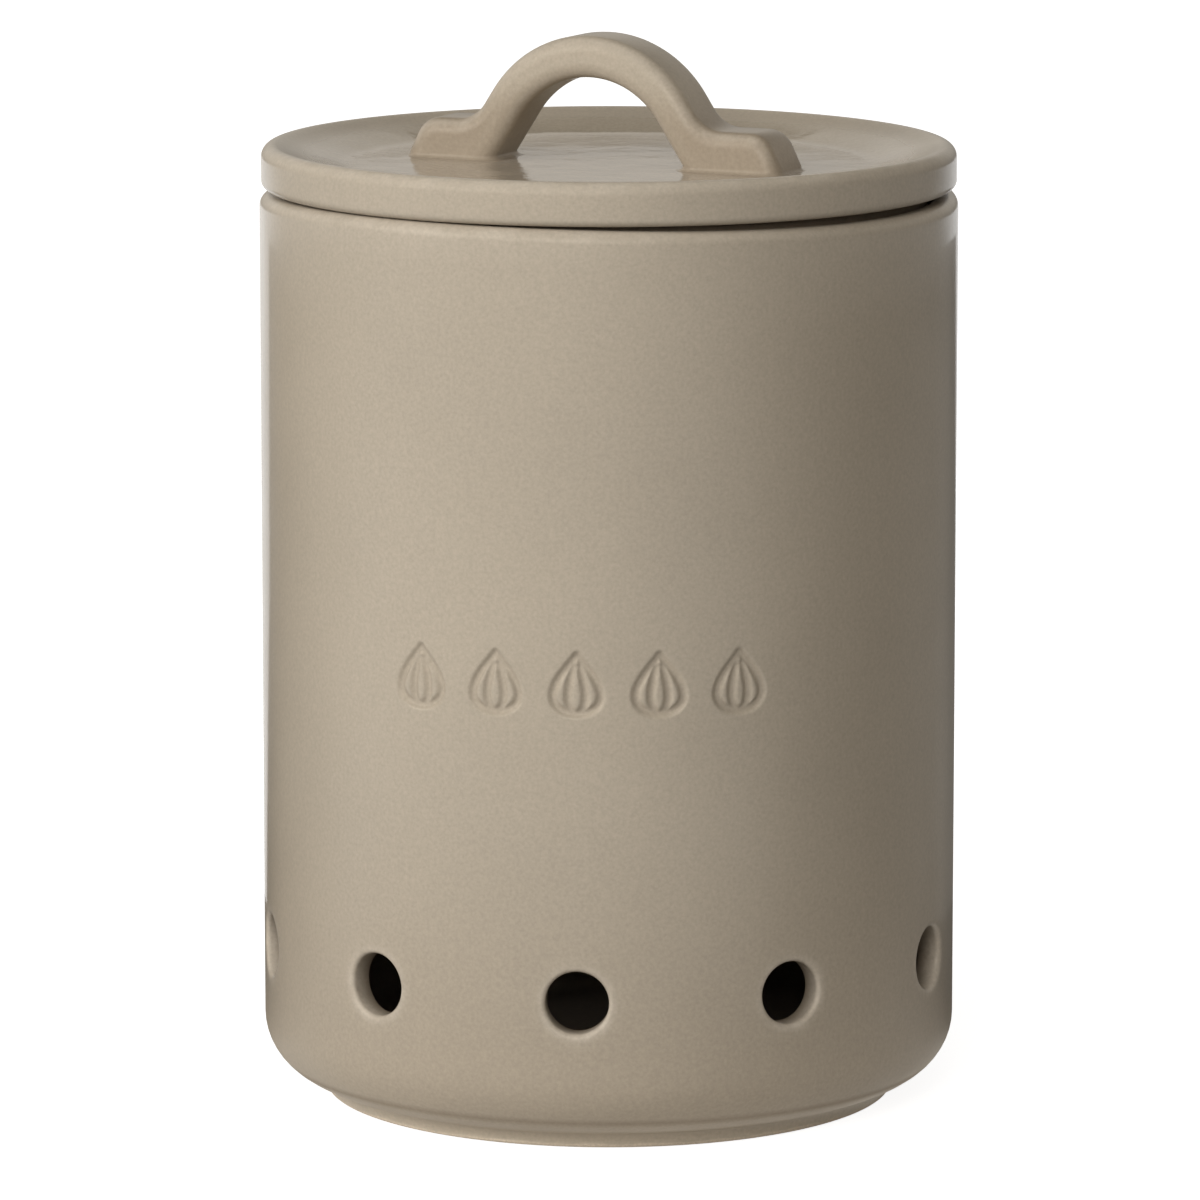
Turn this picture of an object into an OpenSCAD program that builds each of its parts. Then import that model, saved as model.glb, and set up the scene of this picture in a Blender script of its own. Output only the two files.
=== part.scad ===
// Vented stoneware onion keeper: a glazed jar on a foot ring, under a lift-off lid with a strap handle.
// The origin is on the surface that the keeper stands on, in the middle of the foot ring.
// +Z is up, and -Y is the front, where the first vent is.

/* [Jar] */
// Outside diameter of the jar
body_d = 165; // [145:1:190]
// Height of the rim above the surface that the keeper stands on
rim_h = 216.5; // [180:0.5:260]
// Thickness of the wall
wall_t = 6; // [4.5:0.1:8]
// Thickness of the floor
floor_t = 7; // [5:0.1:10]
// Radius of the corner between the wall and the underside
base_corner_r = 14.5; // [8:0.5:17]
// Radius of the inside corner between the wall and the floor
inside_corner_r = 9; // [4:0.5:14]
// Rounding of the rim on its outer edge
rim_outer_r = 3; // [1:0.1:3.2]
// Rounding of the rim on its inner edge
rim_inner_r = 2; // [0.5:0.1:2.2]

/* [Vents] */
// Number of vents, evenly spaced round the jar
vent_count = 10; // [6:1:14]
// Diameter of a vent
vent_d = 14.8; // [8:0.1:18]
// Height of the vents' centres above the inside floor
vent_rise = 26.5; // [20:0.5:50]

/* [Foot ring] */
// Height of the foot ring
foot_h = 4; // [3:0.1:9]
// Width of the foot ring, across its section
foot_w = 8; // [5:0.5:12]
// Step in from the start of the jar's base corner to the outside of the foot ring
foot_step = 0; // [0:0.5:8]
// Rounding of the foot ring's lower edges
foot_edge_r = 1.4; // [0.5:0.1:2]

/* [Lid] */
// How far the lid's edge stands in from the outside of the jar
lid_inset = 0.8; // [0:0.1:2]
// Thickness of the flat plate inside the lid's raised edge
plate_t = 5.2; // [4:0.1:8]
// Depth of the plate below the crest of the raised edge
dish_depth = 5; // [3.5:0.1:8]
// Rounding over the lid's crest
crest_r = 3; // [2:0.1:4]
// Rounding under the lid's edge
lid_low_r = 1.8; // [0.5:0.1:2.5]
// Slope from the crest down to the plate, in degrees
dish_slope = 17; // [13:1:30]
// Radius of the hollow between the slope and the plate
dish_r = 14; // [6:0.5:18]
// Gap between the rim and the lid that stands on it
seat_gap = 0.3; // [0.2:0.05:0.6]

/* [Locating ring] */
// How far the ring hangs below the lid's underside
ring_h = 9; // [6:0.5:15]
// Thickness of the ring's wall
ring_t = 6; // [4:0.1:8]
// Clearance all round between the ring and the jar's mouth
ring_gap = 1.2; // [0.6:0.1:2.5]
// Rounding of the ring's lower edges
ring_edge_r = 1.8; // [0.5:0.1:1.9]

/* [Handle] */
// Radius inside the arch, where the fingers go
arch_r = 21.5; // [16:0.5:24]
// Thickness of the strap at the sides of the arch
strap_t = 8.4; // [7:0.1:11]
// Thickness of the strap at the top of the arch
crown_t = 9.9; // [8:0.1:12]
// Width of the strap
strap_w = 17; // [12:0.5:22]
// Steepness of the legs, in degrees
leg_angle = 57; // [50:1:68]
// Straight length of a leg, between the arch and the hollow above its foot
leg_l = 4.2; // [1:0.1:8]
// Radius of the hollow between a leg and its foot
bend_r = 8.5; // [6:0.5:11]
// Height of the feet
pad_h = 9.6; // [7:0.1:12]
// Length of the flat on top of a foot, with the arch midway between the feet
pad_l = 5.8; // [3:0.1:9]
// Steepness of the end of a foot, in degrees
end_angle = 64; // [50:1:85]
// Radius between the top and the end of a foot
pad_end_r = 6.5; // [4:0.5:8]
// How far the arch stands to the left of the middle between the feet
arch_shift = 1.3; // [-2.5:0.1:2.5]
// How far the feet's middle stands to the left of the lid's middle
handle_shift = 1.2; // [-3:0.1:3]
// Rounding along the strap's edges
strap_edge_r = 3; // [1:0.1:3.5]
// Turn of the lid on the jar, from the handle standing square to the front, in degrees
handle_turn = -20.5; // [-90:0.5:90]

/* [Hidden] */
$fn = 96;

glaze = [0.68, 0.63, 0.56];
bare_clay = [0.80, 0.75, 0.66];

// Pieces in each rounded corner of an outline
corner_steps = 8;
// Pieces in the handle's arch
arch_steps = 28;
// Rings in each rounded edge of the strap
edge_steps = 4;

body_r = body_d / 2;
mouth_r = body_r - wall_t;
floor_z = foot_h + floor_t;
vent_z = floor_z + vent_rise;
foot_r = body_r - base_corner_r - foot_step;
lid_r = body_r - lid_inset;
lid_z = rim_h + seat_gap;
plate_z = lid_z + plate_t;
crest_z = plate_z + dish_depth;
ring_r = mouth_r - ring_gap;

// Roundings, held to what their walls can take
rim_outer_round = min(rim_outer_r, 0.55 * wall_t);
rim_inner_round = min(rim_inner_r, 0.4 * wall_t);
ring_round = min(ring_edge_r, 0.45 * ring_t);
foot_round = min(foot_edge_r, 0.45 * foot_w);
pad_end_round = min(pad_end_r, 0.9 * pad_h);
strap_round = min(strap_edge_r, 0.4 * strap_t, 0.4 * strap_w, 0.8 * pad_end_round);

function polar(centre, r, angle) = centre + r * [cos(angle), sin(angle)];
function arc(centre, r, from, to, steps = corner_steps) =
    [for (i = [0:steps]) polar(centre, r, from + (to - from) * i / steps)];
function mirrored(points) = [for (i = [len(points) - 1:-1:0]) [-points[i].x, points[i].y]];

// Half section of the jar: underside, base corner, wall, rim, inside wall and floor
function jar_section() = concat(
    [[0, foot_h]],
    arc([body_r - base_corner_r, foot_h + base_corner_r], base_corner_r, -90, 0),
    arc([body_r - rim_outer_round, rim_h - rim_outer_round], rim_outer_round, 0, 90),
    arc([mouth_r + rim_inner_round, rim_h - rim_inner_round], rim_inner_round, 90, 180),
    arc([mouth_r - inside_corner_r, floor_z + inside_corner_r], inside_corner_r, 0, -90),
    [[0, floor_z]]
);

// One vent's drill, through the wall at the front and no further
module vent_drill() {
    reach = 2 * wall_t;
    translate([0, -body_r + reach, vent_z])
        rotate([90, 0, 0])
            cylinder(d = vent_d, h = 2 * reach);
}

module jar_body() {
    color(glaze)
        difference() {
            rotate_extrude() polygon(jar_section());
            for (i = [0:vent_count - 1])
                rotate([0, 0, i * 360 / vent_count]) vent_drill();
        }
}

// Section of a plain ring that is rounded along its two lower edges
function ring_section(outer_r, width, low, high, edge_r) = concat(
    [[outer_r, high], [outer_r - width, high]],
    arc([outer_r - width + edge_r, low + edge_r], edge_r, 180, 270),
    arc([outer_r - edge_r, low + edge_r], edge_r, 270, 360)
);

module foot_ring() {
    color(bare_clay)
        rotate_extrude() polygon(ring_section(foot_r, foot_w, 0, foot_h, foot_round));
}

// Where the slope from the crest meets the hollow that leads to the plate
function slope_start() = polar([lid_r - crest_r, crest_z - crest_r], crest_r, 90 + dish_slope);
function slope_length() =
    (slope_start().y - plate_z - dish_r * (1 - cos(dish_slope))) / sin(dish_slope);
function plate_r() = slope_start().x - slope_length() * cos(dish_slope) - dish_r * sin(dish_slope);

// Half section of the lid: flat underside, outer edge, crest, slope, hollow and plate
function lid_section() = concat(
    [[0, lid_z]],
    arc([lid_r - lid_low_r, lid_z + lid_low_r], lid_low_r, -90, 0),
    arc([lid_r - crest_r, crest_z - crest_r], crest_r, 0, 90 + dish_slope),
    arc([plate_r(), plate_z + dish_r], dish_r, dish_slope - 90, -90),
    [[0, plate_z]]
);

module lid_plate() {
    color(glaze)
        rotate_extrude() polygon(lid_section());
}

module lid_locating_ring() {
    color(glaze)
        rotate_extrude() polygon(ring_section(ring_r, ring_t, lid_z - ring_h, lid_z, ring_round));
}

// The strap in its own plane, as two chains of points with as many points each.
// The outer chain runs over the right foot, the arch and the left foot.
// The inner chain runs along the plate, under the arch and along the plate.
// Every exposed edge is drawn in by inset, and the feet stay flat on the plate.
leg_turn = 90 - leg_angle;
end_turn = 90 - end_angle;
arch_outer_r = arch_r + strap_t;
bend_z = pad_h + bend_r;
leg_foot_z = bend_z - bend_r * sin(leg_turn);
leg_foot_x = arch_outer_r * cos(leg_turn) + leg_l * cos(leg_angle);
arch_outer_centre = [0, leg_foot_z + leg_l * sin(leg_angle) - arch_outer_r * sin(leg_turn)];
arch_centre = arch_outer_centre - [0, crown_t - strap_t];
bend_centre = [leg_foot_x + bend_r * cos(leg_turn), bend_z];
right_flat = pad_l + arch_shift;
left_flat = pad_l - arch_shift;

// Where a straight line at a steepness goes down from a point to the plate
function down_to_plate(top, steepness) = [top.x + top.y / tan(steepness), 0];

function inner_corner(inset) = down_to_plate(polar(arch_centre, arch_r + inset, leg_turn), leg_angle);
function pad_end_centre(flat) = [bend_centre.x + flat, pad_h - pad_end_round];
function pad_end(inset, flat) =
    down_to_plate(polar(pad_end_centre(flat), pad_end_round - inset, end_turn), end_angle);

function pad_over(inset, flat) = concat(
    arc(pad_end_centre(flat), pad_end_round - inset, end_turn, 90),
    arc(bend_centre, bend_r + inset, 270, 180 + leg_turn)
);

function pad_under(inset, flat) =
    let (end = pad_end(inset, flat), steps = 2 * corner_steps + 1)
    [for (i = [0:steps]) end + (inner_corner(inset) - end) * i / steps];

function arch_over(centre, r) = arc(centre, r, leg_turn, 180 - leg_turn, arch_steps);

function strap_outline(inset) =
    let (
        outer = concat(
            pad_over(inset, right_flat),
            arch_over(arch_outer_centre, arch_outer_r - inset),
            mirrored(pad_over(inset, left_flat))
        ),
        inner = concat(
            pad_under(inset, right_flat),
            arch_over(arch_centre, arch_r + inset),
            mirrored(pad_under(inset, left_flat))
        )
    )
    concat(outer, [for (i = [len(inner) - 1:-1:0]) inner[i]]);

// Across the strap: one outline at each step of the rounded edge, from the front side to the back
edge_rings = [
    for (i = [0:edge_steps])
        let (turn = 90 * i / edge_steps)
        [-strap_w / 2 + strap_round * (1 - cos(turn)), strap_round * (1 - sin(turn))]
];
strap_rings = concat(edge_rings, mirrored(edge_rings));

// A solid through rings of points, each ring two chains that close its ends side by side
module strap_loft(rings) {
    count = len(rings[0]);
    last = len(rings) - 1;
    points = [for (ring = rings) each ring];
    ends = [
        for (i = [0:count / 2 - 2])
            let (across = count - 1 - i, far = last * count)
            each [
                [across, across - 1, i + 1, i],
                [far + i, far + i + 1, far + across - 1, far + across]
            ]
    ];
    sides = [
        for (r = [0:last - 1], i = [0:count - 1])
            let (a = r * count + i, b = r * count + (i + 1) % count)
            each [[b, a + count, a], [b + count, a + count, b]]
    ];
    polyhedron(points, concat(ends, sides));
}

module lid_handle() {
    rings = [for (ring = strap_rings) [for (p = strap_outline(ring[1])) [p.x, ring[0], p.y]]];
    color(glaze)
        translate([0, 0, plate_z])
            rotate([0, 0, handle_turn])
                translate([-arch_shift - handle_shift, 0, 0])
                    strap_loft(rings);
}

jar_body();
foot_ring();
lid_plate();
lid_locating_ring();
lid_handle();
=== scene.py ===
import math
from functools import partial

import bmesh
import bpy
from mathutils import Matrix, Vector, kdtree, noise


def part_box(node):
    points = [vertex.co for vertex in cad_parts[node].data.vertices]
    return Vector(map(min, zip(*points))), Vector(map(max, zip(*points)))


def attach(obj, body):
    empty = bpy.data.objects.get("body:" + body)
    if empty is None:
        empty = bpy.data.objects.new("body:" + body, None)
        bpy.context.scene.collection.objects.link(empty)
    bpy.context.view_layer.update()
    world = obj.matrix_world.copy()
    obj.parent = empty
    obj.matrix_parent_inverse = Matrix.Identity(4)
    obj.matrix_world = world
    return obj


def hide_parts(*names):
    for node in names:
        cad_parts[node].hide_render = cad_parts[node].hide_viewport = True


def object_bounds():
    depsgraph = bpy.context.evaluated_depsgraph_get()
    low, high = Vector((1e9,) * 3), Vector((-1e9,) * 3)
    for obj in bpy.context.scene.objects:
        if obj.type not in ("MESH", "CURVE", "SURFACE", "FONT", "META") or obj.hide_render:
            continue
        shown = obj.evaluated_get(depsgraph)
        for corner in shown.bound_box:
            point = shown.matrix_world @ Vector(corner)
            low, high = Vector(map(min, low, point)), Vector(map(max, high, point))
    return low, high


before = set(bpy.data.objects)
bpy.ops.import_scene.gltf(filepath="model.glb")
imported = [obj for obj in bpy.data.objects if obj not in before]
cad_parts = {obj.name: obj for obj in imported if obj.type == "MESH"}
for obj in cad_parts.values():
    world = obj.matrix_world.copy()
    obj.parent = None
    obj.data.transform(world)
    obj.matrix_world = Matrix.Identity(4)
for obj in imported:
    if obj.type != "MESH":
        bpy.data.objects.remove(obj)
CAD_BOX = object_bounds()

bl_info = {
    "name": "Vented Stoneware Onion Keeper",
    "version": (1, 0, 0),
    "blender": (4, 5, 0),
    "location": "3D View > Sidebar > Onion Keeper",
    "description": "Dresses a vented jar on a foot ring, and its dished lid with a strap handle",
    "category": "Object",
}

MM = 0.001
FULL_TURN = 2 * math.pi

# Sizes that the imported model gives
JAR_LOW, JAR_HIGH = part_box("jar_body")
FOOT_LOW, FOOT_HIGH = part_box("foot_ring")
LID_LOW, LID_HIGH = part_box("lid_plate")
RING_LOW, RING_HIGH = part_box("lid_locating_ring")
HANDLE_LOW, HANDLE_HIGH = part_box("lid_handle")
HANDLE_H = HANDLE_HIGH.z - HANDLE_LOW.z

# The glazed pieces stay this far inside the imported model's box
SKIN = 0.05 * MM
# Points closer together than this are one point
WELD = 0.001 * MM

# Marks that the meshes carry for their materials: thin glaze with a painted highlight, thick glaze with
# painted shade, and painted shade inside
THIN_AND_HIGHLIGHT_LAYER = "thin_glaze"
THICK_AND_SHADE_LAYER = "thick_glaze"
INSIDE_SHADE_LAYER = "inside_glaze"
GLOW_LAYER = "glow"


def setting(kind, description, default, **more):
    """A setting that a user can change, still to be named."""
    return partial(kind, description=description, default=default, **more)


def length(description, default):
    """A size in metres, given in millimetres."""
    return setting(bpy.props.FloatProperty, description, default * MM, unit="LENGTH", precision=5)


def angle(description, default):
    """An angle, given in degrees."""
    return setting(bpy.props.FloatProperty, description, math.radians(default), unit="ROTATION")


def count(description, default):
    return setting(bpy.props.IntProperty, description, default, min=1)


def amount(description, default):
    return setting(bpy.props.FloatProperty, description, default)


def colour(description, default):
    return setting(bpy.props.FloatVectorProperty, description, default, size=3, subtype="COLOR")


def named(group):
    """Names each setting of a group after its key."""
    for key, unnamed in group.__annotations__.items():
        group.__annotations__[key] = unnamed(name=key.replace("_", " ").capitalize())
    return group


@named
class JarSizes(bpy.types.PropertyGroup):
    wall: length("Thickness of the wall", 6)
    floor: length("Thickness of the floor", 7)
    base_corner: length("Radius between the wall and the underside", 14.5)
    inside_corner: length("Radius between the wall and the floor, inside", 9)
    rim_outer: length("Radius over the rim's outer edge", 3)
    rim_inner: length("Radius over the rim's inner edge", 2)
    rim_dip: length("How far the fired rim has sunk at its lowest side", 1.7)
    rim_dip_way: angle("Direction of the rim's lowest side, from +X", -32)
    warp: length("Height of the stretch under the rim that sinks with it", 60)


@named
class VentSizes(bpy.types.PropertyGroup):
    number: count("Number of vents round the jar", 10)
    diameter: length("Diameter of a vent", 14.7)
    height: length("Height of the vents' centres above the surface", 37.5)
    lip: length("Rounding of a vent's outer lip", 1.2)
    inner_lip: length("Rounding of a vent's inner lip", 0.8)


@named
class BandSizes(bpy.types.PropertyGroup):
    bulbs: count("Number of bulbs in the impressed row", 5)
    pitch: length("Distance from bulb to bulb along the wall", 19)
    height: length("Height of the row's middle above the surface", 112)
    bulb_height: length("Height of a bulb", 13.4)
    bulb_width: length("Width of a bulb", 12)
    groove: length("Width of an impressed line", 2)
    depth: length("Depth of an impressed line", 0.7)


@named
class LidSizes(bpy.types.PropertyGroup):
    crest: length("Radius over the lid's crest", 3)
    low_edge: length("Radius under the lid's edge", 1.8)
    dish_slope: angle("Slope from the crest down to the plate", 17)
    dish_hollow: length("Radius between the slope and the plate", 14)
    ring_wall: length("Thickness of the locating ring", 6)
    ring_edge: length("Radius of the locating ring's lower edges", 1.8)
    glaze_roll: length("How far the glaze rolls out round the lid's edge", 0.35)
    ripple: length("Height of the waves in the pooled glaze", 0.06)
    wave: length("Length of the waves in the pooled glaze", 11)
    small_wave: length("Length of the finer waves between them", 5)


@named
class HandleSizes(bpy.types.PropertyGroup):
    arch: length("Radius inside the arch", 21.5)
    thickness: length("Thickness of the strap at the sides of the arch", 8.4)
    crown: length("Thickness of the strap at the top of the arch", 9.9)
    width: length("Width of the strap", 17)
    leg_angle: angle("Steepness of the legs", 57)
    leg: length("Straight length of a leg", 4.2)
    bend: length("Radius of the hollow between a leg and its foot", 8.5)
    pad_height: length("Height of a foot", 9.6)
    pad_flat: length("Length of the flat on top of a foot, with the arch midway", 5.8)
    end_angle: angle("Steepness of the end of a foot", 64)
    pad_end: length("Radius between the top and the end of a foot", 6.5)
    arch_shift: length("How far the arch stands to the left of the feet's middle", 1.3)
    shift: length("How far the feet's middle stands to the left of the lid's middle", 1.2)
    edge: length("Rounding along the strap's edges", 3.7)
    luting: length("Fillet of glaze where the feet meet the plate", 1.2)
    inner_luting: length("Reach of the same fillet under the arch", 2.4)
    turn: angle("Turn of the handle from square to the front", -20.5)


@named
class FootSizes(bpy.types.PropertyGroup):
    width: length("Width of the foot ring's section", 8)
    edge: length("Radius of the foot ring's lower edges", 1.1)
    hollow: length("Radius of the glaze drawn up between the foot ring and the jar", 3)


@named
class Finishes(bpy.types.PropertyGroup):
    glaze: colour("Colour of the satin glaze", (0.43, 0.368, 0.286))
    # Laid on as painted shade in the lines, at the base and on the handle's feet, and as pooled glaze in
    # the lines
    thick_glaze: colour("Colour where the glaze lies thick", (0.33, 0.268, 0.198))
    # Laid on the rounded edges, rim and lips: the glaze breaking there, and a painted highlight
    thin_glaze: colour("Colour where the glaze runs thin over an edge", (0.55, 0.48, 0.39))
    # Painted shade inside the jar, under the lid and on the locating ring
    inside_glaze: colour("Colour inside the jar and under the lid", (0.2, 0.155, 0.11))
    iron_speck: colour("Colour of the dark specks", (0.05, 0.035, 0.02))
    bare_clay: colour("Colour of the fired clay under the foot", (0.62, 0.53, 0.42))


@named
class StageSettings(bpy.types.PropertyGroup):
    camera_away: length("Level distance from the jar's axis to the camera", 1827.5)
    camera_side: length("How far the camera stands to the right of the jar's axis", -2.1)
    camera_height: length("Height of the camera above the floor", 434.4)
    camera_turn: angle("Turn of the camera round the jar from the front", 5.2)
    camera_tilt: angle("How far the camera looks down", 9.84)
    camera_lens: amount("Focal length on a 36 mm sensor, in millimetres", 233.6)
    floor_radius: length("Radius of the floor", 9000)
    floor_drop: length("How far the floor lies under the foot", 0.2)
    tent_radius: length("Radius of the dark tent round the set", 3200)
    tent_level: amount("Brightness of the tent in the gloss", 0.02)
    backdrop_half: angle("Half of the turn that the backdrop takes up", 70)
    backdrop_top: angle("Height of the backdrop's top above the horizon", 32)
    backdrop_low: amount("Brightness of the backdrop's foot in the gloss", 0.245)
    backdrop_high: amount("Brightness of its upper half in the gloss", 0.686)
    flag_radius: length("Distance from the jar's axis to the flags beside it", 240)
    flag_height: length("Height of the flags", 180)
    flag_left: angle("Turn from straight behind to the left flag", 48.5)
    flag_left_lean: angle("How much further back the left flag's low corner is", 13)
    flag_left_end: angle("Turn from straight behind to the left flag's front end", 104)
    flag_right: angle("Turn from straight behind to the right flag", 36)
    flag_right_lean: angle("How much further back the right flag's low corner is", 14)
    flag_right_end: angle("Turn from straight behind to the right flag's front end", 150)
    flag_fade: angle("Turn over which a flag pales to the floor's white at its front end", 34)
    flag_white: amount("Brightness of the flags' front ends in the gloss", 0.9)
    flag_pale: amount("Brightness of the right flag towards the back", 0.6)
    mat_level: amount("Brightness of the mat under the object in the gloss", 0.9)
    mat_dark: amount("How much darker the mat is behind the object's sides", 0.9)
    key_power: amount("Power of the soft lamp in front, in watts", 20)
    key_turn: angle("Turn of the lamp in front from the camera to the right", -10)
    side_power: amount("Power of the soft lamp on the left, in watts", 27.6)
    side_turn: angle("Turn of the lamp on the left from the camera to the right", -62)
    lamp_rise: angle("Height of the lamps above the object's middle", 22)
    lamp_away: length("Distance from the object's middle to the lamps", 2200)
    lamp_size: length("Side of a lamp's square", 900)
    card_size: length("Side of the square that the gloss shows in a lamp's place", 1100)
    card_level: amount("Brightness of that square", 2.5)
    ambient: amount("Strength of the light from all round", 0.285)


class KeeperSettings(bpy.types.PropertyGroup):
    jar: bpy.props.PointerProperty(type=JarSizes)
    vents: bpy.props.PointerProperty(type=VentSizes)
    band: bpy.props.PointerProperty(type=BandSizes)
    foot: bpy.props.PointerProperty(type=FootSizes)
    lid: bpy.props.PointerProperty(type=LidSizes)
    handle: bpy.props.PointerProperty(type=HandleSizes)
    finishes: bpy.props.PointerProperty(type=Finishes)
    stage: bpy.props.PointerProperty(type=StageSettings)


# Outlines, turned shapes and pieces

def smooth_step(low, high, value):
    """0 below low and 1 above high, with an easy run between them."""
    share = min(1.0, max(0.0, (value - low) / (high - low)))
    return share * share * (3 - 2 * share)


def arc(centre, radius, start, stop, steps):
    """Points on an arc between two angles in degrees, ends included."""
    turns = [math.radians(start + (stop - start) * i / steps) for i in range(steps + 1)]
    return [(centre[0] + radius * math.cos(t), centre[1] + radius * math.sin(t)) for t in turns]


def between(start, stop, steps):
    """Points that part a straight stretch, ends left out."""
    shares = [i / steps for i in range(1, steps)]
    return [tuple(a + (b - a) * share for a, b in zip(start, stop)) for share in shares]


def lathe(outline, steps, closed=False):
    """A mesh turned about the Z axis from an outline of (radius, height) points."""
    bm = bmesh.new()
    verts = [bm.verts.new((radius, 0, height)) for radius, height in outline]
    edges = [bm.edges.new(pair) for pair in zip(verts, verts[1:] + verts[:1] if closed else verts[1:])]
    bmesh.ops.spin(
        bm, geom=verts + edges, cent=(0, 0, 0), axis=(0, 0, 1), dvec=(0, 0, 0),
        angle=FULL_TURN, steps=steps, use_merge=True,
    )
    bmesh.ops.remove_doubles(bm, verts=bm.verts, dist=WELD)
    bmesh.ops.recalc_face_normals(bm, faces=bm.faces)
    return bm


def reach(vert):
    """How far a vertex lies from the Z axis."""
    return vert.co.xy.length


def set_reach(vert, radius, turn):
    vert.co.x = radius * math.cos(turn)
    vert.co.y = radius * math.sin(turn)


def turn_verts(bm, verts, turn):
    """Turns vertices about the Z axis."""
    bmesh.ops.rotate(bm, cent=(0, 0, 0), matrix=Matrix.Rotation(turn, 3, "Z"), verts=verts)


def new_piece(bm, name, *materials):
    """Turns a finished mesh into an object in the scene."""
    mesh = bpy.data.meshes.new(name)
    bm.to_mesh(mesh)
    bm.free()
    for material in materials:
        mesh.materials.append(material)
    piece = bpy.data.objects.new(name, mesh)
    bpy.context.scene.collection.objects.link(piece)
    return piece


def settle(bm, name, body, node, material):
    """Turns a finished mesh into a piece that stands for a CAD node and rides on its body."""
    piece = new_piece(bm, name, material)
    piece.data.shade_smooth()
    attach(piece, body)
    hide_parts(node)


# The jar

JAR_R = JAR_HIGH.x - SKIN
FRONT_TURN = -math.pi / 2
# The wall's grid has this many columns of square cells
JAR_COLUMNS = 360
COLUMN_TURN = FULL_TURN / JAR_COLUMNS
CELL = JAR_R * COLUMN_TURN
# Grid cells from a vent's middle to its lip, and to where the grid is square again
LIP_CELLS = 6
PATCH_CELLS = 11
LIP_CROWDING = 0.8
LIP_SEGMENTS = 5
# Cuts across a grid cell under the impressed row
BAND_CUTS = 3
# A bulb's outline: its points, how pointed its tip is, and what brings its swell to the bulb's width
BULB_STEPS = 90
BULB_POINT = 1.3
BULB_FULLNESS = 0.63
# A bulb's ribs: their share of the outline's width, and the turn from the tip to their start
RIB_SHARE = 0.36
RIB_START = 0.9
# Darkening in an impressed line, from pooled glaze and painted shade, and painted shade at the jar's base,
# 0 to 1
GROOVE_GLAZE_AND_SHADE = 0.25
BASE_SHADE = 0.4
# How far past a vent's lip the thin glaze and painted highlight reach
LIP_FADE = 2 * MM
# An impressed line's side rises between these shares of its width, from its middle outwards
GROOVE_SIDE = (0.1, 0.7)
# The painted shade inside begins between these shares of the wall's thickness
INSIDE_EDGE = (0.55, 0.9)
# The painted shade at the base fades out between these multiples of the base corner's radius
BASE_FADE = (1, 6)


def band_rows(band):
    """Half the number of grid rows that the impressed row takes."""
    return math.ceil((band.bulb_height / 2 + band.groove) / CELL)


def grid_stretch(radius, middle, half_rows):
    """Points at cell spacing above and below a middle height, from low to high."""
    return [(radius, middle + row * CELL) for row in range(-half_rows, half_rows + 1)]


def jar_outline(jar, vents, band):
    """The jar's half section: out along the underside, up the wall, over the rim and down to the floor."""
    inner = JAR_R - jar.wall
    low, rim = JAR_LOW.z, JAR_HIGH.z
    floor = low + jar.floor
    base_c = jar.base_corner
    inside_c = jar.inside_corner
    patch = grid_stretch(JAR_R, vents.height, PATCH_CELLS)
    row = grid_stretch(JAR_R, band.height, band_rows(band))
    inner_patch = grid_stretch(inner, vents.height, PATCH_CELLS)[::-1]
    base = arc((JAR_R - base_c, low + base_c), base_c, -90, 0, steps=12)
    rim_out = arc((JAR_R - jar.rim_outer, rim - jar.rim_outer), jar.rim_outer, 0, 90, steps=9)
    rim_in = arc((inner + jar.rim_inner, rim - jar.rim_inner), jar.rim_inner, 90, 180, steps=7)
    corner = arc((inner - inside_c, floor + inside_c), inside_c, 0, -90, steps=10)
    return (
        [(0, low)] + between((0, low), base[0], steps=4) + base
        + patch + between(patch[-1], row[0], steps=7) + row + between(row[-1], rim_out[0], steps=14)
        + rim_out + rim_in + between(rim_in[-1], inner_patch[0], steps=18) + inner_patch
        + corner + between(corner[-1], (0, floor), steps=6) + [(0, floor)]
    )


def round_cell(column, row, hole):
    """Where a grid point near a vent goes, so that the square of cells round it opens into a circle."""
    ring = max(abs(column), abs(row))
    share = (ring - LIP_CELLS) / (PATCH_CELLS - LIP_CELLS)
    if abs(column) >= abs(row):
        slant = math.pi / 4 * row / abs(column)
        way = Vector((math.copysign(math.cos(slant), column), math.sin(slant)))
    else:
        slant = math.pi / 4 * column / abs(row)
        way = Vector((math.sin(slant), math.copysign(math.cos(slant), row)))
    circle = way * (hole + (PATCH_CELLS * CELL - hole) * share ** LIP_CROWDING)
    square = Vector((column * CELL, row * CELL))
    return circle.lerp(square, smooth_step(0, 1, share))


def vent_turns(vents):
    return [FRONT_TURN + FULL_TURN * i / vents.number for i in range(vents.number)]


def offset_from(vert, turn):
    """Signed turn from a direction to a vertex, within half a turn."""
    return math.remainder(math.atan2(vert.co.y, vert.co.x) - turn, FULL_TURN)


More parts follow.
